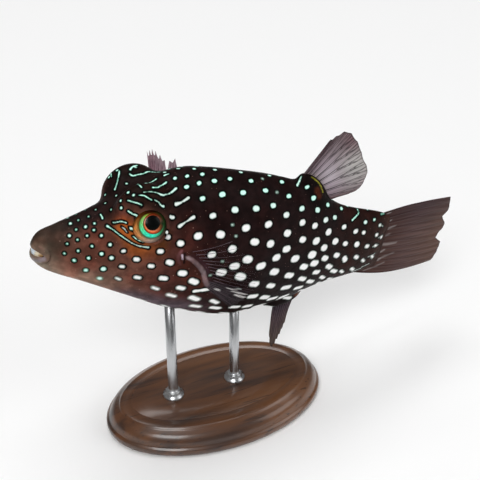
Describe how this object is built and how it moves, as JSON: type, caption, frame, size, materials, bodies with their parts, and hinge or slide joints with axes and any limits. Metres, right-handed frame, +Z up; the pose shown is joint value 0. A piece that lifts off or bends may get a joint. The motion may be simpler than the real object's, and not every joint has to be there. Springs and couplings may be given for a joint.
{
  "type": "whitespotted toby (small spotted pufferfish), life-size museum model",
  "caption": "Small dark pufferfish with white and mint spots, swimming nose up, as a still life-size model on an oval wooden stand.",
  "frame": {"origin": "centre of the stand base's flat underside", "axes": "+X towards the tail, snout towards -X; +Y towards the fish's right side; +Z up"},
  "size_m": [0.0828, 0.0262, 0.054],
  "materials": {
    "skin": "smooth damp dark red-brown fish skin with small white and mint spots",
    "fin": "translucent purple-brown fin membrane over darker rays",
    "clear_fin": "nearly clear fin membrane with fine dark rays",
    "eye": "polished glass eye, black pupil with orange and green rings",
    "beak": "smooth enamel, bluish white to cream",
    "wood": "satin varnished walnut",
    "steel": "fine drawn steel rod"
  },
  "bodies": {
    "root": {"head": "skin", "trunk": "skin", "tail_stalk": "skin", "caudal_fin": "fin", "dorsal_fin": "fin", "anal_fin": "fin", "pectoral_fin_left": "clear_fin", "pectoral_fin_right": "clear_fin", "eye_left": "eye", "eye_right": "eye", "beak_upper": "beak", "beak_lower": "beak", "stand_base": "wood", "stand_rod_front": "steel", "stand_rod_rear": "steel"}
  },
  "joints": []
}
